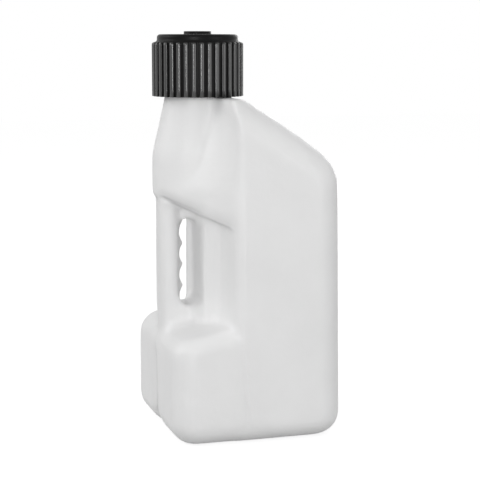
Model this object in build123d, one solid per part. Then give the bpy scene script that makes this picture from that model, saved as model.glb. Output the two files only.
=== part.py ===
"""Blow-moulded utility jug with a through-handle, a sloped shoulder and a ribbed screw cap.

Millimetres, +Z up. The origin is on the floor under the middle of the jug. +X runs from the
handle end to the far end, and the mould's parting plane is Y = 0.
"""
import math
import os
from build123d import *

# Whole jug
body_length = 194.6
body_width = 199.6
wall = 3.0
overrun = 40.0

# Tank: drafted far end, crowned slope and ridged sides
tank_end_draft = 3.9
tank_end_height = 299.0
tank_end_radius = 49.0
tank_edge_radius = 36.0
tank_rear_taper = 1.0
slope_crown = 3.5
slope_top_run = 31.2
ridge_radius = 14.0

# Base block under the handle
base_side_inset = 2.7
base_ridge_inset = 1.5
base_corner_radius = 28.0
base_lap = 40.0
foot_radius = 25.0
cavity_foot_share = 0.7
shoulder_height = 104.0
shoulder_rise = 14.0
shoulder_slope_width = 11.0
shoulder_edge_radius = 8.0

# Handle column, hand hole and finger web
column_setback = 5.1
column_depth = 19.8
column_width = 41.0
column_corner_radius = 9.5
hole_depth = 21.9
saddle_height = 151.5
lintel_height = 229.0
saddle_side_inset = 1.0
web_thickness = 6.0
web_land = 4.0
finger_pitch = 24.0
finger_count = 4
finger_depth = 5.2
finger_first_height = 151.0

# Front wall of the tank, behind the hand hole
grip_wall_width = 64.0
grip_wall_radius = 3.5
recess_panel_depth = 14.0
recess_panel_flare = 8.0
recess_bend_radius = 14.0
recess_depth = 20.3
recess_corner_inset = 4.5
recess_corner_radius = 8.0
ridge_band = 9.0

# Nose and wedge that lead up to the neck
brow_height = 265.0
brow_end_height = 236.0
brow_edge_radius = 5.0
nose_top_height = 311.0
nose_radius = 45.0
wedge_ridge_lead = 7.0
wedge_ridge_inset = 1.6
wedge_top_run = 5.0
wedge_foot_height = 276.0
wedge_top_height = 364.0
wedge_top_radius = 24.0

# Neck cone and finish
neck_setback = 51.5
neck_radius = 36.2
neck_wall = 3.5
finish_radius = 39.0
finish_rise = 6.0

# Screw cap
cap_skirt_height = 374.3
cap_body_gap = 2.3
cap_radius = 50.5
cap_rib_count = 36
cap_rib_depth = 2.6
cap_rib_width = 5.4
cap_skirt_length = 58.7
cap_tier_radius = 44.7
cap_tier_height = 8.8
cap_tier_bevel = 2.6
cap_hub_radius = 15.1
cap_hub_height = 3.3
cap_hub_chamfer = 0.8
cap_bore_radius = 42.6
cap_top_thickness = 4.2

# Gasket between the cap and the neck's rim
gasket_thickness = 3.0
gasket_side_gap = 0.5
gasket_overlap = 1.5
gasket_seat_gap = 0.3

# Places worked out from the sizes above
half_length = body_length / 2
half_width = body_width / 2
end_x = -half_length
column_face_x = end_x + column_setback + column_depth
grip_wall_x = column_face_x + hole_depth
recess_corner_x = grip_wall_x + recess_depth
ridge_x = recess_corner_x + ridge_band
neck_x = end_x + neck_setback
slope_top_x = neck_x + slope_top_run
tank_root_x = end_x - overrun
cap_tier_z = cap_skirt_height + cap_skirt_length
cap_top_z = cap_tier_z + cap_tier_height
cap_ceiling_z = cap_top_z - cap_top_thickness
neck_rim_z = cap_ceiling_z - gasket_thickness - 2 * gasket_seat_gap
body_top_z = cap_skirt_height - cap_body_gap


def mirrored_face(half_points, radii):
    """Plan face of a half outline and its mirror about X, with a radius at each outline point."""
    mirror_points = [(x, -y) for x, y in reversed(half_points)]
    face = make_face(Polyline(*half_points, *mirror_points, close=True))
    for point, radius in zip(half_points, radii):
        if radius > 0:
            twin = (point[0], -point[1])
            corners = [face.vertices().sort_by_distance(place)[0] for place in (point, twin)]
            face = fillet(corners, radius)
    return face


def shrunk(face, inset):
    """The face moved in from its outline by the inset."""
    return offset(face, -inset) if inset > 0 else face


def rounded_foot(edges, inset):
    """Block with its foot edges rounded outside, and bevelled in the cavity."""
    if inset > 0:
        return chamfer(edges, cavity_foot_share * foot_radius)
    return fillet(edges, foot_radius)


def eased(edges, radius, inset):
    """Block with small edges rounded outside, and left square in the cavity."""
    return edges[0].topo_parent if inset > 0 else fillet(edges, radius)


def prism(face, bottom, top):
    """Upright prism of a plan face between two heights."""
    return Pos(0, 0, bottom) * extrude(face, top - bottom)


def tank_block(inset):
    """Side profile pulled across the width, with rounded slope, end and foot edges.

    The slope is crowned outside and straight in the cavity.
    """
    end_top = half_length - tank_end_draft
    end_foot = half_length + tank_end_draft * foot_radius / tank_end_height
    slope_foot = (end_top, tank_end_height)
    slope_top = (slope_top_x, body_top_z)
    crown = ((slope_top_x + end_top) / 2, (body_top_z + tank_end_height) / 2 + slope_crown)
    if inset > 0:
        slope = Line(slope_foot, slope_top)
    else:
        slope = ThreePointArc(slope_foot, crown, slope_top)
    lead = Line(slope @ 1, slope @ 1 + (slope % 1) * overrun)
    lead_top = (lead @ 1).Y
    walls = Polyline(lead @ 1, (tank_root_x, lead_top), (tank_root_x, 0), (end_foot, 0), slope_foot)
    face = make_face([*walls.edges(), slope, lead])
    shoulder = face.vertices().sort_by_distance((end_top, tank_end_height))[0]
    face = shrunk(fillet(shoulder, tank_end_radius), inset)
    block = extrude(Plane.XZ * face, half_width - inset, both=True)
    far_face = block.faces().sort_by(Axis.X)[-1]
    uprights = [e for e in far_face.edges() if abs((e % 0.5).Z) > abs((e % 0.5).Y)]
    block = fillet(uprights, tank_edge_radius - inset)
    floor_face = block.faces().sort_by(Axis.Z)[0]
    foot = [e for e in floor_face.edges() if (e @ 0.5).X > tank_root_x + wall + inset]
    return rounded_foot(foot, inset)


def tank(inset):
    """Main tank: the block trimmed to its ridged plan and flat top."""
    half_points = [
        (grip_wall_x, -grip_wall_width / 2),
        (grip_wall_x + recess_panel_depth, -grip_wall_width / 2 - recess_panel_flare),
        (recess_corner_x, -half_width + recess_corner_inset),
        (ridge_x, -half_width),
        (half_length + overrun, -half_width + tank_rear_taper),
    ]
    radii = [grip_wall_radius, recess_bend_radius, recess_corner_radius, ridge_radius, 0]
    plan = shrunk(mirrored_face(half_points, radii), inset)
    return tank_block(inset) & prism(plan, 0, body_top_z - inset)


def base_block(inset):
    """Rounded base with a sloping shoulder under the handle."""
    base_root_x = ridge_x + base_lap
    half_points = [
        (end_x, -half_width + base_side_inset),
        (base_root_x, -half_width + base_ridge_inset),
    ]
    plan = mirrored_face(half_points, [base_corner_radius, 0])
    plan = shrunk(plan, inset)
    block = prism(plan, inset, body_top_z)
    end_top = shoulder_height + shoulder_slope_width - inset
    grade = shoulder_rise / (recess_corner_x - end_x)
    low_x = end_x - overrun
    high_x = base_root_x + overrun
    roof = make_face(
        Polyline(
            (low_x, end_top - grade * overrun),
            (high_x, end_top + grade * (high_x - end_x)),
            (high_x, body_top_z + overrun),
            (low_x, body_top_z + overrun),
            close=True,
        )
    )
    block = block - extrude(Plane.XZ * roof, half_width + overrun, both=True)
    block = rounded_foot(rim_edges(block.faces().sort_by(Axis.Z)[0]), inset)
    block = chamfer(rim_edges(block.faces().sort_by(Axis.Z)[-1]), shoulder_slope_width)
    return eased(rim_edges(block.faces().sort_by(Axis.Z)[-1]), shoulder_edge_radius, inset)


def rim_edges(face):
    """Edges of a face apart from the one buried in the tank."""
    return face.edges().sort_by(Axis.X)[:-1]


def nose_plan(nose_x, radius):
    """Wedge plan: a round nose whose flanks run back, tangent to it, to the ridges."""
    middle_x = nose_x + radius
    flank_x = ridge_x - wedge_ridge_lead
    flank_y = half_width - wedge_ridge_inset
    reach = math.hypot(flank_x - middle_x, flank_y)
    turn = math.atan2(flank_y, flank_x - middle_x) + math.acos(radius / reach)
    touch = (middle_x + radius * math.cos(turn), radius * math.sin(turn))
    root = (ridge_x + base_lap, flank_y - tank_rear_taper)
    half_points = [(touch[0], -touch[1]), (flank_x, -flank_y), (root[0], -root[1])]
    body = mirrored_face(half_points, [0, ridge_radius, 0])
    return make_face(
        [e for e in body.edges() if (e @ 0.5).X > touch[0] or abs((e @ 0.5).Y) > touch[1]]
        + [ThreePointArc(touch, (nose_x, 0), (touch[0], -touch[1]))]
    )


def wedge(inset):
    """Nose block and the wedge above it, trimmed below by the sloping brow."""
    nose = shrunk(nose_plan(end_x, nose_radius), inset)
    top = shrunk(nose_plan(neck_x + wedge_top_run, wedge_top_radius), inset)
    block = prism(nose, brow_end_height - overrun, wedge_foot_height)
    block += loft([Pos(0, 0, wedge_foot_height) * nose, Pos(0, 0, wedge_top_height) * top])
    block += prism(top, wedge_top_height, body_top_z - inset)
    fall = (brow_height - brow_end_height) / (recess_corner_x - end_x)
    low_x = end_x - overrun
    high_x = ridge_x + base_lap + overrun
    brow = make_face(
        Polyline(
            (low_x, brow_height + inset + fall * overrun),
            (high_x, brow_height + inset - fall * (high_x - end_x)),
            (high_x, 0),
            (low_x, 0),
            close=True,
        )
    )
    block = block & tank_block(inset)
    block = block - extrude(Plane.XZ * brow, half_width + overrun, both=True)
    underside = min(block.faces(), key=lambda face: face.normal_at().Z)
    return eased(rim_edges(underside), brow_edge_radius, inset)


def neck_cone(inset):
    """Round nose, narrowed by a leaning cone up to the neck."""
    foot_x = end_x + nose_radius
    foot_half = nose_radius - inset
    rise = cap_skirt_height - nose_top_height
    apex_share = foot_half / (nose_radius - neck_radius)
    apex = Vector(foot_x + (neck_x - foot_x) * apex_share, 0, nose_top_height + rise * apex_share)
    front = (Vector(foot_x - foot_half, 0, nose_top_height) - apex).normalized()
    back = (Vector(foot_x + foot_half, 0, nose_top_height) - apex).normalized()
    middle = (front + back).normalized()
    reach = (Vector(foot_x, 0, nose_top_height) - apex).length + rise
    section = make_face(
        Polyline(apex, apex + front * reach, apex + middle * reach * front.dot(middle), close=True)
    )
    nose = prism(Circle(foot_half), wedge_foot_height, cap_skirt_height + finish_rise / 2)
    return Pos(foot_x, 0, 0) * nose & revolve(section, Axis(apex, middle))


def column(inset):
    """Upright handle column between the base and the nose."""
    middle = column_face_x - column_depth / 2
    section = RectangleRounded(
        column_depth - 2 * inset, column_width - 2 * inset, column_corner_radius - inset
    )
    return Pos(middle, 0, 0) * prism(section, shoulder_height, nose_top_height - inset)


def hole_ends(inset):
    """Rounded floor and roof of the hand hole, between the column and the tank."""
    column_land = column_width / 2 - column_corner_radius
    half_points = [
        (column_face_x - saddle_side_inset, saddle_side_inset - column_land),
        (grip_wall_x + grip_wall_radius, saddle_side_inset - grip_wall_width / 2),
    ]
    plan = shrunk(mirrored_face(half_points, [0, 0]), inset)
    bowl = Rot(90, 0, 0) * Cylinder(hole_depth / 2 + inset, grip_wall_width + overrun)
    middle_x = column_face_x + hole_depth / 2
    floor = prism(plan, shoulder_height, saddle_height) - Pos(middle_x, 0, saddle_height) * bowl
    roof = prism(plan, lintel_height, nose_top_height) - Pos(middle_x, 0, lintel_height) * bowl
    return floor + roof


def form(inset):
    """The jug below its neck, as one solid moved in by the inset."""
    pieces = [tank, base_block, wedge, neck_cone, column, hole_ends]
    solid = pieces[0](inset)
    for piece in pieces[1:]:
        solid = solid + piece(inset)
    return solid


def finger_web():
    """Thin pinched web on the column, scalloped for the fingers."""
    radius = ((finger_pitch / 2) ** 2 + finger_depth**2) / (2 * finger_depth)
    depth = column_corner_radius + web_land + finger_depth
    left = column_face_x - column_corner_radius
    height = finger_count * finger_pitch
    foot = finger_first_height - finger_pitch / 2
    web = Pos(left + depth / 2, 0, foot + height / 2) * Box(depth, web_thickness, height)
    for i in range(finger_count):
        place = (column_face_x + web_land + radius, 0, finger_first_height + i * finger_pitch)
        web -= Pos(*place) * Rot(90, 0, 0) * Cylinder(radius, web_thickness + overrun)
    return web


def neck(radius, finish, top):
    """Round neck that flares out to the finish that the cap screws on."""
    section = make_face(
        Polyline(
            (0, cap_skirt_height - finish_rise),
            (2 * radius - finish, cap_skirt_height - finish_rise),
            (finish, cap_skirt_height + finish_rise),
            (finish, top),
            (0, top),
            close=True,
        )
    )
    return Pos(neck_x, 0, 0) * revolve(Plane.XZ * section, Axis.Z)


def jug_body():
    """Hollow one-piece moulding with an open neck."""
    outer = form(0) + neck(neck_radius, finish_radius, neck_rim_z)
    bore = neck(neck_radius - neck_wall, finish_radius - neck_wall, neck_rim_z + overrun)
    return outer - (form(wall) + bore) + finger_web()


def screw_cap():
    """Ribbed skirt, stepped top with a round hub, and a plain bore."""
    root = cap_radius - cap_rib_depth
    rib = Rectangle(2 * cap_rib_depth, cap_rib_width)
    outline = Circle(root) + PolarLocations(root, cap_rib_count) * rib
    skirt = prism(outline, cap_skirt_height, cap_tier_z)
    tier = prism(Circle(cap_tier_radius), cap_skirt_height, cap_top_z)
    tier = chamfer(tier.faces().sort_by(Axis.Z)[-1].edges(), cap_tier_bevel)
    hub = prism(Circle(cap_hub_radius), cap_ceiling_z, cap_top_z + cap_hub_height)
    hub = chamfer(hub.faces().sort_by(Axis.Z)[-1].edges(), cap_hub_chamfer)
    bore = prism(Circle(cap_bore_radius), cap_skirt_height - overrun, cap_ceiling_z)
    return Pos(neck_x, 0, 0) * (skirt + tier + hub - bore)


def cap_gasket():
    """Flat rubber ring that seals the cap on the neck's rim."""
    outer = cap_bore_radius - gasket_side_gap
    inner = finish_radius - neck_wall - gasket_overlap
    top = cap_ceiling_z - gasket_seat_gap
    ring = prism(Circle(outer) - Circle(inner), top - gasket_thickness, top)
    return Pos(neck_x, 0, 0) * ring


os.makedirs("parts", exist_ok=True)
export_step(jug_body(), "parts/jug_body.step")
export_step(screw_cap(), "parts/screw_cap.step")
export_step(cap_gasket(), "parts/cap_gasket.step")
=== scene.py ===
import math
import bmesh
import bpy
import numpy as np
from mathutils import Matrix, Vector


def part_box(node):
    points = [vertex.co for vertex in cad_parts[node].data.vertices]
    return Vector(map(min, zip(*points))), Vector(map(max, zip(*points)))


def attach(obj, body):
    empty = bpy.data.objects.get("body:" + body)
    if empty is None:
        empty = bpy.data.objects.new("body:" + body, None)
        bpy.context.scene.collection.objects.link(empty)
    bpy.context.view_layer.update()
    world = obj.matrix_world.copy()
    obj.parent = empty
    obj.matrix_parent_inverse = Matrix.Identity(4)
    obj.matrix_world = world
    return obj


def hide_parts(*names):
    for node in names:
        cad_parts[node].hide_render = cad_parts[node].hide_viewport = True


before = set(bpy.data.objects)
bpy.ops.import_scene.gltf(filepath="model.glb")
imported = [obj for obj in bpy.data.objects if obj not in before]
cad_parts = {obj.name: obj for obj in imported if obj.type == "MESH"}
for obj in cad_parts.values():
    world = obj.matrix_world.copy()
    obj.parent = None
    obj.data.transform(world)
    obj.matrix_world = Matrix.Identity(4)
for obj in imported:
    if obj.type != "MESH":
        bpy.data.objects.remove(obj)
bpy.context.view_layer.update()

# Looks of the utility jug: soft blow-moulded body, ribbed black screw cap and rubber gasket
# Sizes are in metres, in the frame of the CAD model, and a pair is where a change starts and ends
AXIS_R = 0.0006

# Neck and thread
NECK_X = -0.0458
RIM_Z = 0.4340
NECK_CUT_Z = 0.3840
FINISH_R = 0.0390
BORE_R = 0.0355
LIP_R = 0.0009
THREAD_LEAD = 0.010
THREAD_HEIGHT = 0.0017
THREAD_WIDTH = 0.0040
THREAD_FOOT_Z = 0.3960
THREAD_TURNS = 2.0
THREAD_FADE = 0.5
NECK_ROWS = 62
NECK_BORE_ROWS = 8
LIP_STEPS = 6

# Body's even mesh and its blending, as a weight of 0 to 1 for each zone
VOXEL = 0.00225
SMOOTH_ROUNDS = 32
SMOOTH_STEP = 0.5
PLAIN_WEIGHT = 0.22
WEB_WEIGHT = 0.1
WALL_WEIGHT = 0.05
LIP_WEIGHT = 0.3
FINISH_WEIGHT = 0.08
FINISH_Z = 0.376
SHOULDER_Z = (0.080, 0.100)
SHOULDER_TOP_Z = (0.128, 0.150)
SHOULDER_X = (-0.020, 0.0)
VALLEY_Z = (0.262, 0.285)
VALLEY_TOP_Z = (0.340, 0.362)
VALLEY_X = (-0.012, 0.008)
ROOT_Z = (0.332, 0.350)
ROOT_TOP_Z = (0.367, 0.374)
ROOT_Y = (0.014, 0.024)
ROOT_SIDE_Y = (0.050, 0.062)
ROOT_X = (-0.022, -0.010)
WEB_HALF_WIDTH = 0.008
WEB_X = (-0.0747, -0.0572)
WEB_Z = (0.135, 0.240)
GRIP_WALL_Y = (0.022, 0.042)
GRIP_WALL_X = (-0.056, -0.042)
GRIP_WALL_Z = (0.128, 0.250)
LIP_Z = (0.222, 0.2705)
LIP_END_X = -0.026

# Mould's parting line
SEAM_HALF_WIDTH = 0.0010
SEAM_HEIGHT = 0.0006
SEAM_FOOT_Z = 0.002
SEAM_GAP_X = (-0.0737, -0.0412)
SEAM_GAP_Z = (0.120, 0.255)

# Blocks under the handle's hole and behind the handle
HOLE_X = -0.0615
HOLE_R = 0.0110
HOLE_STEPS = 12
SADDLE_Z = 0.1430
SADDLE_HALF_WIDTH = 0.0195
SADDLE_FOOT_Z = 0.100
SADDLE_X = (-0.084, -0.046)
HANDLE_BACK = ((-0.086, 0.0190), (-0.0765, 0.0185), (-0.0738, 0.0150), (-0.0690, 0.0032))
HANDLE_BACK_Z = (0.145, 0.240)

# Ridges down the base's sides
RIDGE_X = -0.0212
RIDGE_LEAN = 0.0085
RIDGE_LEAN_Z = (0.0, 0.118)
RIDGE_REACH = (0.004, 0.050)
RIDGE_Y = (0.070, 0.090)
CREST_HEIGHT = 0.0010
CREST_HALF_WIDTH = 0.0024
CREST_Z = (0.010, 0.030)
CREST_TOP_Z = (0.215, 0.300)

# Lip under the nose
BROW_Z = 0.265
BROW_X = -0.0973
BROW_SLOPE = 0.38
TUCK = 0.0026
TUCK_ABOVE = 0.013
TUCK_BELOW = 0.004
TUCK_Y = (0.004, 0.022)
TUCK_X = (-0.036, -0.026)
TUCK_CENTRE_X = -0.035
TUCK_SIDE_SHARE = 1.2
TUCK_LEAST_REACH = 0.001

# Wall behind the handle's hole
WALL_SPREAD = 0.0075
WALL_Y = (0.018, 0.031)
WALL_SIDE_Y = (0.042, 0.080)
WALL_X = (-0.060, -0.052)
WALL_BACK_X = (-0.038, -0.026)
WALL_Z = (0.112, 0.140)
WALL_TOP_Z = (0.250, 0.275)

# Pinch-off at the handle end, and the top under the cap
DENT_DEPTH = 0.0036
DENT_IN_SHARE = 0.75
DENT_UP_SHARE = 0.66
DENT_HALF_WIDTH = 0.014
DENT_HALF_HEIGHT = 0.015
DENT_Z = 0.008
DENT_X = (-0.080, -0.062)
GROOVE_DEPTH = 0.0026
GROOVE_HALF_WIDTH = 0.009
GROOVE_Z = (0.004, 0.030)
GROOVE_TOP_Z = (0.080, 0.104)
GROOVE_X = (-0.090, -0.080)
TOP_RISE = 0.0012
TOP_RISE_Z = (0.360, 0.371)
TOP_RISE_END_Z = (0.3735, 0.378)

# Screw cap
CAP_Z = 0.3743
CAP_TIER_Z = 0.4330
CAP_TOP_Z = 0.4418
CAP_HUB_Z = 0.4451
CAP_R = 0.0505
CAP_ROOT_R = 0.0479
CAP_TIER_R = 0.0447
CAP_HUB_R = 0.0151
CAP_BORE_R = 0.0426
CAP_CEILING_Z = 0.4376
CAP_CEILING_R = 0.030
CAP_BORE_ROWS = 54
CAP_BORE_EDGE = 0.0008
CAP_BORE_ROUND = 0.0003
CAP_CEILING_EDGE = 0.0012
HUB_DISH = ((0.0006, 0.0040), (0.00045, 0.0032), (0.0001, 0.0026), (0.0, 0.0020))
HUB_EDGE = 0.0006
HUB_ROUND = ((0.0, 1.0), (0.3, 0.3), (1.0, 0.0))
HUB_ROOT = ((0.0008, 0.0), (0.0003, 0.0002), (0.0, 0.0008), (0.0, 0.0040))
TIER_EDGE = 0.0036
TIER_FLAT_INSET = 0.0052
FLARE = 0.0030
FLARE_Z = CAP_TIER_Z + 0.0034
FLARE_LEAD = 0.0012
EDGE_STEPS = 8

# Cap's ribs, with places across a rib as shares of the pitch
RIB_COUNT = 36
RIB_STEPS = (0.0, 0.06, 0.12, 0.18, 0.23, 0.27, 0.30, 0.312, 0.324, 0.336, 0.35, 0.40)
RIB_CROWN = 4.3
RIB_CROWN_HALF = 0.31
RIB_FLANK = (0.295, 0.345)
RIB_ROWS = 8
RIB_RUN = 0.0535
RIB_TOP_Z = CAP_TIER_Z + 0.0003
RIB_TOP_RUN = 0.004
RIB_TOP = (
    (0.0001, 0.0, 0.0002), (0.0004, 0.42, 0.0001), (0.0009, 0.72, 0.0),
    (0.0016, 0.90, 0.0), (0.0026, 0.985, 0.0), (0.0040, 1.0, 0.0),
)
RIB_FOOT = ((0.0006, 1.0, 0.0), (0.0002, 0.9, 0.0001), (0.0, 0.75, 0.0004))
RIB_ROUGH_R = (0.0488, 0.0499)
RIB_GLOSS_R = (0.0491, 0.0502)

# Gasket
GASKET_OVERLAP = 0.0015
GASKET_EDGE = 0.0006
GASKET_BEAD = 0.00025
GASKET_BEAD_R = 0.0372
GASKET_BEAD_HALF_WIDTH = 0.0009
GASKET_FACE_STEPS = 15
GASKET_EDGE_STEPS = 6
GASKET_STEPS = 120

# Studio: lamps have a name, place, target, size and power in watts
FLOOR_HALF_SIZE = 6.0
FLOOR_TONE = 0.36
FLOOR_GLOW = 0.81
SKY_LIGHT = 0.51
LAMPS = (
    ("key", (-1.20, -2.48, 0.72), (0.0, 0.0, 0.38), (0.45, 1.0), 28.0),
    ("side", (-2.25, 0.80, 1.45), (0.0, 0.0, 0.26), (1.2, 1.2), 17.0),
    ("fill", (1.55, -2.15, 0.70), (0.0, 0.0, 0.26), (1.2, 1.2), 12.0),
    ("back", (1.30, 2.25, 0.60), (0.0, 0.0, 0.26), (1.4, 1.4), 15.0),
)
CAMERA_PLACE = (-0.44595, -1.4601, 0.4355)
CAMERA_DIP = 0.146
CAMERA_TURN = -0.2984
CAMERA_LENS_MM = 102.0
CAMERA_SENSOR_MM = 36.0


def new_object(name, mesh):
    """A mesh object in the scene, shaded smooth."""
    obj = bpy.data.objects.new(name, mesh)
    bpy.context.scene.collection.objects.link(obj)
    mesh.polygons.foreach_set("use_smooth", [True] * len(mesh.polygons))
    return obj


def evaluated_mesh(obj):
    """Mesh of the object with its modifiers applied."""
    graph = bpy.context.evaluated_depsgraph_get()
    return bpy.data.meshes.new_from_object(obj.evaluated_get(graph))


def smoothstep(low, high, value):
    """0 below low, 1 above high, smooth between."""
    t = np.clip((np.asarray(value, float) - low) / (high - low), 0.0, 1.0)
    return t * t * (3.0 - 2.0 * t)


def fade(low, high, value):
    """1 below low, 0 above high, smooth between."""
    return 1.0 - smoothstep(low, high, value)


def within(low, high, value):
    """Whether each value lies between low and high."""
    return (value > low) & (value < high)


def quarter_turn(steps, first=0):
    """Angles of a quarter turn in equal steps."""
    return [math.pi / 2 * i / steps for i in range(first, steps + 1)]


def split_skins(node):
    """Outer and inner skins of the hollow body, parted at the neck's rim."""
    bm = bmesh.new()
    bm.from_mesh(node.data)
    bmesh.ops.remove_doubles(bm, verts=bm.verts, dist=2e-6)
    rim = [f for f in bm.faces if min(v.co.z for v in f.verts) > RIM_Z - 1e-5]
    bmesh.ops.delete(bm, geom=rim, context="FACES")
    start = max(bm.verts, key=lambda v: v.co.z * 1e3 + math.hypot(v.co.x - NECK_X, v.co.y))
    seen, front = {start}, [start]
    while front:
        for edge in front.pop().link_edges:
            for v in edge.verts:
                if v not in seen:
                    seen.add(v)
                    front.append(v)
    inner = bm.copy()
    keep = {v.index for v in seen}
    bmesh.ops.delete(bm, geom=[v for v in bm.verts if v not in seen], context="VERTS")
    inner.verts.ensure_lookup_table()
    bmesh.ops.delete(inner, geom=[v for v in inner.verts if v.index in keep], context="VERTS")
    return bm, inner


def add_prism(bm, first, last):
    """Closed prism between two outlines, that the even mesh joins to the skin."""
    first = [bm.verts.new(place) for place in first]
    last = [bm.verts.new(place) for place in last]
    bm.faces.new(first)
    bm.faces.new(last[::-1])
    for i in range(len(first)):
        j = (i + 1) % len(first)
        bm.faces.new((first[i], last[i], last[j], first[j]))


def add_saddle(bm):
    """Block below the handle's hole, round-topped like the hole's end."""
    front_x, back_x = SADDLE_X
    top = SADDLE_Z + HOLE_R
    profile = [(back_x, SADDLE_FOOT_Z), (back_x, top), (HOLE_X + HOLE_R, top)]
    for i in range(1, HOLE_STEPS):
        turn = math.pi * i / HOLE_STEPS
        profile.append((HOLE_X + HOLE_R * math.cos(turn), SADDLE_Z + HOLE_R * (1 - math.sin(turn))))
    profile += [(HOLE_X - HOLE_R, top), (front_x, top), (front_x, SADDLE_FOOT_Z)]
    near = [(x, -SADDLE_HALF_WIDTH, z) for x, z in profile]
    far = [(x, SADDLE_HALF_WIDTH, z) for x, z in profile]
    add_prism(bm, near, far)


def add_handle_back(bm):
    """Block that runs the handle's rounded back down to its finger web."""
    plan = list(HANDLE_BACK) + [(x, -y) for x, y in reversed(HANDLE_BACK)]
    low, high = HANDLE_BACK_Z
    add_prism(bm, [(x, y, low) for x, y in plan], [(x, y, high) for x, y in plan])


def remeshed(bm):
    """Even mesh of a skin closed at the neck, with the blocks at the handle joined to it."""
    bmesh.ops.holes_fill(bm, edges=[e for e in bm.edges if e.is_boundary])
    add_saddle(bm)
    add_handle_back(bm)
    bmesh.ops.recalc_face_normals(bm, faces=bm.faces)
    mesh = bpy.data.meshes.new("skin")
    bm.to_mesh(mesh)
    bm.free()
    holder = new_object("skin_holder", mesh)
    modifier = holder.modifiers.new("even", "REMESH")
    modifier.mode = "VOXEL"
    modifier.voxel_size = VOXEL
    even = evaluated_mesh(holder)
    bpy.data.objects.remove(holder)
    return even


def softened(mesh, weight_of):
    """Laplacian smoothing of the mesh, at each vertex by its weight, and then the moulded detail."""
    count = len(mesh.vertices)
    co = np.zeros(count * 3)
    mesh.vertices.foreach_get("co", co)
    co = co.reshape(-1, 3)
    edges = np.zeros(len(mesh.edges) * 2, int)
    mesh.edges.foreach_get("vertices", edges)
    a, b = edges.reshape(-1, 2).T
    degree = np.bincount(np.concatenate([a, b]), minlength=count)[:, None]
    weight = weight_of(co)[:, None]
    for _ in range(SMOOTH_ROUNDS):
        total = np.zeros_like(co)
        for axis in range(3):
            total[:, axis] = np.bincount(a, co[b, axis], count) + np.bincount(b, co[a, axis], count)
        co += SMOOTH_STEP * weight * (total / degree - co)
    mesh.vertices.foreach_set("co", detailed(co).ravel())
    return mesh


def lean_ridges(x, y, z):
    """Leans the side ridges towards the back below, and raises a crest on them."""
    side = smoothstep(*RIDGE_Y, np.abs(y))
    lean = RIDGE_LEAN * fade(*RIDGE_LEAN_Z, z)
    x = x + lean * side * fade(*RIDGE_REACH, np.abs(x - RIDGE_X))
    crest = np.exp(-(((x - RIDGE_X - lean) / CREST_HALF_WIDTH) ** 2))
    crest *= smoothstep(*CREST_Z, z) * fade(*CREST_TOP_Z, z)
    return x, y + np.sign(y) * side * CREST_HEIGHT * crest


def tuck_lip(x, y, z):
    """Draws in the lip under the nose, most at its sloping edge."""
    edge = z - (BROW_Z - BROW_SLOPE * (x - BROW_X))
    tuck = np.where(edge > 0, fade(0.0, TUCK_ABOVE, edge), fade(0.0, TUCK_BELOW, -edge))
    tuck *= TUCK * smoothstep(*TUCK_Y, np.abs(y)) * fade(*TUCK_X, x)
    out_x, out_y = x - TUCK_CENTRE_X, TUCK_SIDE_SHARE * y
    reach = np.maximum(np.hypot(out_x, out_y), TUCK_LEAST_REACH)
    return x - tuck * out_x / reach, y - tuck * out_y / reach


def spread_wall(x, y, z):
    """Widens the wall behind the handle's hole."""
    wall = smoothstep(*WALL_Y, np.abs(y)) * fade(*WALL_SIDE_Y, np.abs(y))
    wall *= smoothstep(*WALL_X, x) * fade(*WALL_BACK_X, x)
    wall *= smoothstep(*WALL_Z, z) * fade(*WALL_TOP_Z, z)
    return y + np.sign(y) * WALL_SPREAD * wall


def detailed(co):
    """Moulded detail of the body: ridges, lip, wall, pinch-off groove and dent, and the top under the cap."""
    x, y, z = co.T
    x, y = lean_ridges(x, y, z)
    x, y = tuck_lip(x, y, z)
    y = spread_wall(x, y, z)
    dent = DENT_DEPTH * np.exp(-((y / DENT_HALF_WIDTH) ** 2) - ((z - DENT_Z) / DENT_HALF_HEIGHT) ** 2)
    dent *= fade(*DENT_X, x)
    groove = GROOVE_DEPTH * np.exp(-((y / GROOVE_HALF_WIDTH) ** 2))
    groove *= smoothstep(*GROOVE_Z, z) * fade(*GROOVE_TOP_Z, z) * fade(*GROOVE_X, x)
    rise = TOP_RISE * smoothstep(*TOP_RISE_Z, z) * fade(*TOP_RISE_END_Z, z)
    return np.stack([x + groove + DENT_IN_SHARE * dent, y, z + DENT_UP_SHARE * dent + rise], 1)


def soft_weight(co):
    """How far each place of the body blends: the thin finger web, the hole's wall and the neck stay crisp."""
    x, y, z = co.T
    side = np.abs(y)
    shoulder = smoothstep(*SHOULDER_Z, z) * fade(*SHOULDER_TOP_Z, z) * fade(*SHOULDER_X, x)
    valley = smoothstep(*VALLEY_Z, z) * fade(*VALLEY_TOP_Z, z) * fade(*VALLEY_X, x)
    root = smoothstep(*ROOT_Z, z) * fade(*ROOT_TOP_Z, z) * fade(*ROOT_X, x)
    root *= smoothstep(*ROOT_Y, side) * fade(*ROOT_SIDE_Y, side)
    weight = np.maximum.reduce([np.full(len(co), PLAIN_WEIGHT), shoulder, valley, root])
    web = (side < WEB_HALF_WIDTH) & within(*WEB_X, x) & within(*WEB_Z, z)
    weight[web] = WEB_WEIGHT
    wall = within(*GRIP_WALL_Y, side) & within(*GRIP_WALL_X, x) & within(*GRIP_WALL_Z, z)
    weight[wall] = WALL_WEIGHT
    lip = within(*LIP_Z, z) & (x < LIP_END_X)
    weight[lip] = LIP_WEIGHT
    weight[z > FINISH_Z] = FINISH_WEIGHT
    return weight


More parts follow.
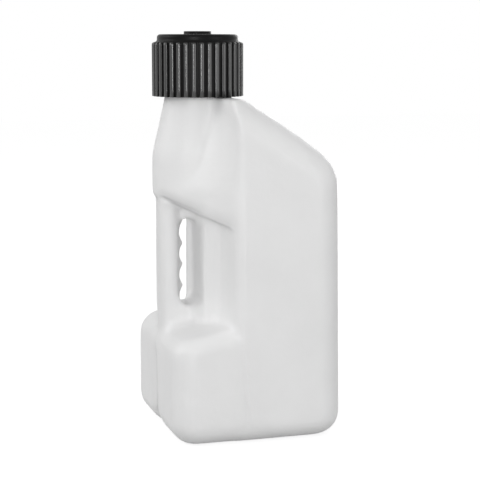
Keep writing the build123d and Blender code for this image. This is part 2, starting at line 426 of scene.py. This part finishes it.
def raise_seam(bm):
    """Thin parting line of the mould round the middle of the body."""
    for offset in (-SEAM_HALF_WIDTH, 0.0, SEAM_HALF_WIDTH):
        geom = list(bm.verts) + list(bm.edges) + list(bm.faces)
        bmesh.ops.bisect_plane(
            bm, geom=geom, dist=1e-5, plane_co=(0, offset, 0), plane_no=(0, 1, 0)
        )
    bm.normal_update()
    crest = [v for v in bm.verts if abs(v.co.y) < 2e-5]
    shifts = [v.normal.copy() for v in crest]
    for v, normal in zip(crest, shifts):
        hidden = SEAM_GAP_X[0] < v.co.x < SEAM_GAP_X[1] and SEAM_GAP_Z[0] < v.co.z < SEAM_GAP_Z[1]
        if not hidden and v.co.z > SEAM_FOOT_Z:
            v.co += normal * SEAM_HEIGHT


def rim_loop(bm):
    """Open edge of a skin cut level, as its vertices in order round the neck."""
    verts = {v for e in bm.edges if e.is_boundary for v in e.verts}
    return sorted(verts, key=lambda v: math.atan2(v.co.y, v.co.x - NECK_X))


def cut_level(bm, height):
    """Takes away what stands above the height."""
    geom = list(bm.verts) + list(bm.edges) + list(bm.faces)
    bmesh.ops.bisect_plane(
        bm, geom=geom, dist=1e-6, plane_co=(0, 0, height), plane_no=(0, 0, 1), clear_outer=True
    )


def thread_height(angle, z, foot, turns):
    """Height of a single-start thread ridge at an angle and height, faded at its ends."""
    best = 0.0
    for turn in range(int(turns) + 1):
        run = angle + 2 * math.pi * turn
        if run > 2 * math.pi * turns:
            continue
        crest = foot + THREAD_LEAD * run / (2 * math.pi)
        shape = 1.0 - float(smoothstep(0.3 * THREAD_WIDTH, 0.5 * THREAD_WIDTH, abs(z - crest)))
        ends = float(smoothstep(0, THREAD_FADE, run))
        ends *= float(smoothstep(0, THREAD_FADE, 2 * math.pi * turns - run))
        best = max(best, shape * ends)
    return best


def neck_rows():
    """Neck from its root over the lip and down the bore, as (radius, height, whether threaded)."""
    lip_z = RIM_Z - LIP_R
    rows = []
    for i in range(1, NECK_ROWS + 1):
        rows.append((FINISH_R, NECK_CUT_Z + (lip_z - NECK_CUT_Z) * i / NECK_ROWS, True))
    for turn in quarter_turn(LIP_STEPS, 1):
        rows.append((FINISH_R - LIP_R * (1 - math.cos(turn)), RIM_Z - LIP_R * (1 - math.sin(turn)), False))
    for turn in quarter_turn(LIP_STEPS):
        rows.append((BORE_R + LIP_R * (1 - math.sin(turn)), RIM_Z - LIP_R * (1 - math.cos(turn)), False))
    for i in range(1, NECK_BORE_ROWS + 1):
        rows.append((BORE_R, lip_z - (lip_z - NECK_CUT_Z) * i / NECK_BORE_ROWS, False))
    return rows


def add_neck(bm):
    """Threaded neck on the body's level cut, which is rounded to meet it."""
    below = rim_loop(bm)
    angles = [math.atan2(v.co.y, v.co.x - NECK_X) for v in below]
    for v, angle in zip(below, angles):
        v.co.x = NECK_X + FINISH_R * math.cos(angle)
        v.co.y = FINISH_R * math.sin(angle)
    for radius, z, threaded in neck_rows():
        here = []
        for angle in angles:
            r = radius
            if threaded:
                r += THREAD_HEIGHT * thread_height(angle % (2 * math.pi), z, THREAD_FOOT_Z, THREAD_TURNS)
            here.append(bm.verts.new((NECK_X + r * math.cos(angle), r * math.sin(angle), z)))
        for i in range(len(angles)):
            j = (i + 1) % len(angles)
            bm.faces.new((below[i], below[j], here[j], here[i]))
        below = here


def build_jug():
    """Body shell: softened outer skin, threaded neck, rolled lip and plain inner skin."""
    outer, inner = split_skins(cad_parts["jug_body"])
    bm = bmesh.new()
    bm.from_mesh(softened(remeshed(outer), soft_weight))
    raise_seam(bm)
    cut_level(bm, NECK_CUT_Z)
    add_neck(bm)
    cut_level(inner, NECK_CUT_Z)
    lining = bpy.data.meshes.new("lining")
    inner.to_mesh(lining)
    inner.free()
    bm.from_mesh(lining)
    bmesh.ops.bridge_loops(bm, edges=[e for e in bm.edges if e.is_boundary])
    bmesh.ops.triangulate(bm, faces=[f for f in bm.faces if len(f.verts) > 4])
    bmesh.ops.recalc_face_normals(bm, faces=bm.faces)
    mesh = bpy.data.meshes.new("jug_shell")
    bm.to_mesh(mesh)
    bm.free()
    return new_object("jug_shell", mesh)


def lathe(name, rows, angles, close):
    """Surface of rows round the neck's axis. A row is (height, radius) or (height, radius at each angle).

    Where it is closed, the last row joins the first, and otherwise both ends get a face."""
    bm = bmesh.new()
    grid = []
    for z, radius in rows:
        radii = radius if hasattr(radius, "__len__") else [radius] * len(angles)
        places = [(NECK_X + r * math.cos(a), r * math.sin(a), z) for r, a in zip(radii, angles)]
        grid.append([bm.verts.new(place) for place in places])
    pairs = list(zip(grid, grid[1:]))
    if close:
        pairs.append((grid[-1], grid[0]))
    count = len(angles)
    for low, high in pairs:
        for i in range(count):
            j = (i + 1) % count
            bm.faces.new((low[i], low[j], high[j], high[i]))
    if not close:
        bm.faces.new(grid[0][::-1])
        bm.faces.new(grid[-1])
    bmesh.ops.recalc_face_normals(bm, faces=bm.faces)
    mesh = bpy.data.meshes.new(name)
    bm.to_mesh(mesh)
    bm.free()
    return new_object(name, mesh)


def rib_shape():
    """Angles round the cap, and the share of the rib's depth at each of them."""
    pitch = 2 * math.pi / RIB_COUNT
    steps = [-0.5] + [-s for s in RIB_STEPS[:0:-1]] + list(RIB_STEPS)
    angles = [pitch * (i + s) for i in range(RIB_COUNT) for s in steps]
    crown = [1.0 - RIB_CROWN * min(abs(s), RIB_CROWN_HALF) ** 2 for s in steps]
    flank = [1.0 - float(smoothstep(*RIB_FLANK, abs(s))) for s in steps]
    return angles, np.array([c * f for c, f in zip(crown, flank)] * RIB_COUNT)


def cap_top_rows():
    """Cap's dished hub, flat top, rounded tier and the flare below it."""
    rows = [(CAP_HUB_Z - HUB_DISH[0][0], AXIS_R)]
    rows += [(CAP_HUB_Z - depth, CAP_HUB_R - inset) for depth, inset in HUB_DISH]
    rows += [(CAP_HUB_Z - HUB_EDGE * down, CAP_HUB_R - HUB_EDGE * inset) for down, inset in HUB_ROUND]
    rows += [(CAP_TOP_Z + height, CAP_HUB_R + out) for height, out in HUB_ROOT]
    rows.append((CAP_TOP_Z, CAP_TIER_R - TIER_FLAT_INSET))
    for turn in quarter_turn(EDGE_STEPS):
        drop, inset = TIER_EDGE * (1 - math.cos(turn)), TIER_EDGE * (1 - math.sin(turn))
        rows.append((CAP_TOP_Z - drop, CAP_TIER_R - inset))
    rows.append((FLARE_Z + FLARE_LEAD, CAP_TIER_R))
    for turn in quarter_turn(EDGE_STEPS):
        rows.append((FLARE_Z - FLARE * math.sin(turn), CAP_TIER_R + FLARE * (1 - math.cos(turn))))
    return rows


def cap_bore_rows(angles):
    """Cap's threaded bore, from its edge to the ceiling's middle."""
    start_z = CAP_Z + CAP_BORE_EDGE
    rows = [(CAP_Z, CAP_BORE_R + CAP_BORE_EDGE)]
    rows.append((CAP_Z + CAP_BORE_ROUND, CAP_BORE_R + CAP_BORE_ROUND))
    rows.append((start_z, CAP_BORE_R))
    foot = THREAD_FOOT_Z - THREAD_LEAD / 2
    for i in range(1, CAP_BORE_ROWS + 1):
        z = start_z + (CAP_CEILING_Z - 2 * CAP_BORE_EDGE - CAP_Z) * i / CAP_BORE_ROWS
        heights = [thread_height(a % (2 * math.pi), z, foot, THREAD_TURNS) for a in angles]
        rows.append((z, [CAP_BORE_R - THREAD_HEIGHT * h for h in heights]))
    rows += [(CAP_CEILING_Z, r) for r in (CAP_BORE_R - CAP_CEILING_EDGE, CAP_CEILING_R, AXIS_R)]
    return rows


def build_cap():
    """Screw cap: soft-edged ribs, flared tier, hub, and a threaded bore."""
    angles, share = rib_shape()

    def ribbed(z, amount, inset):
        return z, list(CAP_ROOT_R - inset + (CAP_R - CAP_ROOT_R) * amount * share)

    rows = cap_top_rows()
    rows += [ribbed(RIB_TOP_Z - drop, amount, inset) for drop, amount, inset in RIB_TOP]
    for i in range(1, RIB_ROWS):
        rows.append(ribbed(CAP_TIER_Z - RIB_TOP_RUN - RIB_RUN * i / RIB_ROWS, 1.0, 0.0))
    rows += [ribbed(CAP_Z + height, amount, inset) for height, amount, inset in RIB_FOOT]
    rows += cap_bore_rows(angles)
    return lathe("cap_shell", rows, angles, close=False)


def build_gasket():
    """Flat rubber ring with rounded edges and a shallow sealing bead on each face."""
    low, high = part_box("cap_gasket")
    outer = (high.x - low.x) / 2
    inner = BORE_R - GASKET_OVERLAP
    half = (high.z - low.z) / 2
    middle = (high.z + low.z) / 2
    rows = []
    for side in (1, -1):
        radii = np.linspace(inner + GASKET_EDGE, outer - GASKET_EDGE, GASKET_FACE_STEPS)
        for r in radii[::side]:
            bead = math.exp(-(((r - GASKET_BEAD_R) / GASKET_BEAD_HALF_WIDTH) ** 2))
            rows.append((middle + side * (half - GASKET_BEAD * (1.0 - bead)), r))
        rim = outer if side > 0 else inner
        for i in range(1, GASKET_EDGE_STEPS):
            turn = math.pi * i / GASKET_EDGE_STEPS
            z = middle + side * (half - GASKET_BEAD) * math.cos(turn)
            rows.append((z, rim - side * GASKET_EDGE * (1 - math.sin(turn))))
    angles = [2 * math.pi * i / GASKET_STEPS for i in range(GASKET_STEPS)]
    return lathe("gasket_ring", rows, angles, close=True)


def material(name, tone, roughness):
    """New grey node material, its shader and coordinates, with plain values where nodes aren't read."""
    mat = bpy.data.materials.new(name)
    mat.use_nodes = True
    shader = mat.node_tree.nodes["Principled BSDF"]
    shader.inputs["Base Color"].default_value = (tone, tone, tone, 1.0)
    shader.inputs["Roughness"].default_value = roughness
    coords = mat.node_tree.nodes.new("ShaderNodeTexCoord")
    return mat, shader, coords


def noise(mat, coords, scale, detail):
    """Noise over the piece."""
    node = mat.node_tree.nodes.new("ShaderNodeTexNoise")
    node.inputs["Scale"].default_value = scale
    node.inputs["Detail"].default_value = detail
    mat.node_tree.links.new(coords.outputs["Object"], node.inputs["Vector"])
    return node.outputs["Fac"]


def map_range(mat, value, start, end, low, high):
    """A value's run from start to end mapped to low to high."""
    node = mat.node_tree.nodes.new("ShaderNodeMapRange")
    node.inputs["From Min"].default_value = start
    node.inputs["From Max"].default_value = end
    node.inputs["To Min"].default_value = low
    node.inputs["To Max"].default_value = high
    mat.node_tree.links.new(value, node.inputs["Value"])
    return node.outputs["Result"]


def noise_color(mat, coords, scale, low, high):
    """Noise mapped to a run between two colours."""
    node = mat.node_tree.nodes.new("ShaderNodeValToRGB")
    for element, position, color in zip(node.color_ramp.elements, (0.3, 0.7), (low, high)):
        element.position = position
        element.color = (*color, 1.0)
    mat.node_tree.links.new(noise(mat, coords, scale, 4.0), node.inputs["Fac"])
    return node.outputs["Color"]


def axis_distance(mat, coords):
    """Distance from the neck's axis."""
    last = coords.outputs["Object"]
    for operation, other in (("SUBTRACT", (NECK_X, 0.0, 0.0)), ("MULTIPLY", (1.0, 1.0, 0.0))):
        node = mat.node_tree.nodes.new("ShaderNodeVectorMath")
        node.operation = operation
        node.inputs[1].default_value = other
        mat.node_tree.links.new(last, node.inputs[0])
        last = node.outputs["Vector"]
    length = mat.node_tree.nodes.new("ShaderNodeVectorMath")
    length.operation = "LENGTH"
    mat.node_tree.links.new(last, length.inputs[0])
    return length.outputs["Value"]


def bump(mat, coords, shader, layers):
    """Stacked fine bumps: each layer is (scale, detail, height in metres)."""
    nodes, links = mat.node_tree.nodes, mat.node_tree.links
    last = None
    for scale, detail, height in layers:
        node = nodes.new("ShaderNodeBump")
        node.inputs["Strength"].default_value = 1.0
        node.inputs["Distance"].default_value = height
        links.new(noise(mat, coords, scale, detail), node.inputs["Height"])
        if last:
            links.new(last.outputs["Normal"], node.inputs["Normal"])
        last = node
    links.new(last.outputs["Normal"], shader.inputs["Normal"])


def jug_material():
    """White polyethylene: soft sheen, slight light bleed, faint mould grain and clouding."""
    mat, shader, coords = material("white_polyethylene", 0.83, 0.45)
    links = mat.node_tree.links
    clouding = noise_color(mat, coords, 14.0, (0.80, 0.80, 0.80), (0.84, 0.84, 0.84))
    links.new(clouding, shader.inputs["Base Color"])
    sheen = map_range(mat, noise(mat, coords, 90.0, 3.0), 0.25, 0.75, 0.42, 0.54)
    links.new(sheen, shader.inputs["Roughness"])
    bump(mat, coords, shader, ((60.0, 2.0, 0.0004), (900.0, 3.0, 0.00004)))
    shader.inputs["IOR"].default_value = 1.54
    shader.inputs["Specular IOR Level"].default_value = 0.4
    shader.inputs["Subsurface Weight"].default_value = 0.2
    shader.inputs["Subsurface Radius"].default_value = (1.0, 1.0, 1.0)
    shader.inputs["Subsurface Scale"].default_value = 0.004
    return mat


def cap_material():
    """Black polypropylene: dull in the grooves and glossier on the ribs, to read as it does in the photo."""
    mat, shader, coords = material("black_polypropylene", 0.003, 0.30)
    links = mat.node_tree.links
    black = noise_color(mat, coords, 60.0, (0.002, 0.002, 0.002), (0.005, 0.005, 0.005))
    links.new(black, shader.inputs["Base Color"])
    radius = axis_distance(mat, coords)
    links.new(map_range(mat, radius, *RIB_ROUGH_R, 0.38, 0.26), shader.inputs["Roughness"])
    links.new(map_range(mat, radius, *RIB_GLOSS_R, 0.10, 0.85), shader.inputs["Specular IOR Level"])
    bump(mat, coords, shader, ((1400.0, 3.0, 0.00005),))
    shader.inputs["IOR"].default_value = 1.49
    return mat


def gasket_material():
    """Dark nitrile rubber with a dull, slightly dusty face."""
    mat, shader, coords = material("nitrile_rubber", 0.03, 0.8)
    links = mat.node_tree.links
    dust = noise_color(mat, coords, 120.0, (0.022, 0.022, 0.023), (0.045, 0.045, 0.046))
    links.new(dust, shader.inputs["Base Color"])
    dullness = map_range(mat, noise(mat, coords, 300.0, 3.0), 0.25, 0.75, 0.7, 0.9)
    links.new(dullness, shader.inputs["Roughness"])
    bump(mat, coords, shader, ((1100.0, 3.0, 0.00006),))
    return mat


def seen_rays(nodes, links):
    """1 for the rays by which the background is seen, directly or in a gloss, and 0 for its light."""
    path = nodes.new("ShaderNodeLightPath")
    last = path.outputs["Is Camera Ray"]
    for kind in ("Is Glossy Ray", "Is Transmission Ray"):
        either = nodes.new("ShaderNodeMath")
        either.operation = "MAXIMUM"
        links.new(last, either.inputs[0])
        links.new(path.outputs[kind], either.inputs[1])
        last = either.outputs[0]
    return last


def build_floor():
    """Plain white floor that keeps the contact shadow."""
    bm = bmesh.new()
    bmesh.ops.create_grid(bm, x_segments=8, y_segments=8, size=FLOOR_HALF_SIZE)
    mesh = bpy.data.meshes.new("floor")
    bm.to_mesh(mesh)
    bm.free()
    floor = new_object("floor", mesh)
    mat = bpy.data.materials.new("floor_white")
    mat.use_nodes = True
    nodes, links = mat.node_tree.nodes, mat.node_tree.links
    nodes.clear()
    out = nodes.new("ShaderNodeOutputMaterial")
    diffuse = nodes.new("ShaderNodeBsdfDiffuse")
    diffuse.inputs["Color"].default_value = (FLOOR_TONE, FLOOR_TONE, FLOOR_TONE, 1.0)
    glow = nodes.new("ShaderNodeEmission")
    level = nodes.new("ShaderNodeMath")
    level.operation = "MULTIPLY"
    level.inputs[1].default_value = FLOOR_GLOW
    links.new(seen_rays(nodes, links), level.inputs[0])
    links.new(level.outputs[0], glow.inputs["Strength"])
    add = nodes.new("ShaderNodeAddShader")
    links.new(diffuse.outputs[0], add.inputs[0])
    links.new(glow.outputs[0], add.inputs[1])
    links.new(add.outputs[0], out.inputs["Surface"])
    mesh.materials.append(mat)
    return floor


def build_world():
    """White to the camera, plain soft light to the object."""
    world = bpy.data.worlds.new("studio")
    bpy.context.scene.world = world
    world.use_nodes = True
    nodes, links = world.node_tree.nodes, world.node_tree.links
    nodes.clear()
    out = nodes.new("ShaderNodeOutputWorld")
    seen = nodes.new("ShaderNodeBackground")
    seen.inputs["Color"].default_value = (1.0, 1.0, 1.0, 1.0)
    seen.inputs["Strength"].default_value = 1.0
    light = nodes.new("ShaderNodeBackground")
    light.inputs["Color"].default_value = (1.0, 1.0, 1.0, 1.0)
    light.inputs["Strength"].default_value = SKY_LIGHT
    mix = nodes.new("ShaderNodeMixShader")
    links.new(seen_rays(nodes, links), mix.inputs["Fac"])
    links.new(light.outputs[0], mix.inputs[1])
    links.new(seen.outputs[0], mix.inputs[2])
    links.new(mix.outputs[0], out.inputs["Surface"])


def area_lamp(name, place, target, size, watts):
    """Soft rectangular lamp aimed at a point."""
    data = bpy.data.lights.new(name, "AREA")
    data.shape = "RECTANGLE"
    data.size, data.size_y = size
    data.energy = watts
    lamp = bpy.data.objects.new(name, data)
    bpy.context.scene.collection.objects.link(lamp)
    lamp.location = place
    aim = Vector(target) - Vector(place)
    lamp.rotation_euler = aim.to_track_quat("-Z", "Y").to_euler()


def build_camera():
    """Camera at the photograph's place."""
    data = bpy.data.cameras.new("camera")
    data.sensor_width = CAMERA_SENSOR_MM
    data.lens = CAMERA_LENS_MM
    camera = bpy.data.objects.new("camera", data)
    bpy.context.scene.collection.objects.link(camera)
    camera.location = CAMERA_PLACE
    camera.rotation_euler = (math.pi / 2 - CAMERA_DIP, 0.0, CAMERA_TURN)
    bpy.context.scene.camera = camera


def dress(obj, mat, body, node):
    """Gives a piece its material and body, and hides the CAD part that it replaces."""
    obj.data.materials.clear()
    obj.data.materials.append(mat)
    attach(obj, body)
    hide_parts(node)


dress(build_jug(), jug_material(), "jug", "jug_body")
dress(build_cap(), cap_material(), "cap", "screw_cap")
dress(build_gasket(), gasket_material(), "gasket", "cap_gasket")
build_floor()
build_world()
build_camera()
for lamp in LAMPS:
    area_lamp(*lamp)
bpy.context.scene.view_settings.view_transform = "Standard"
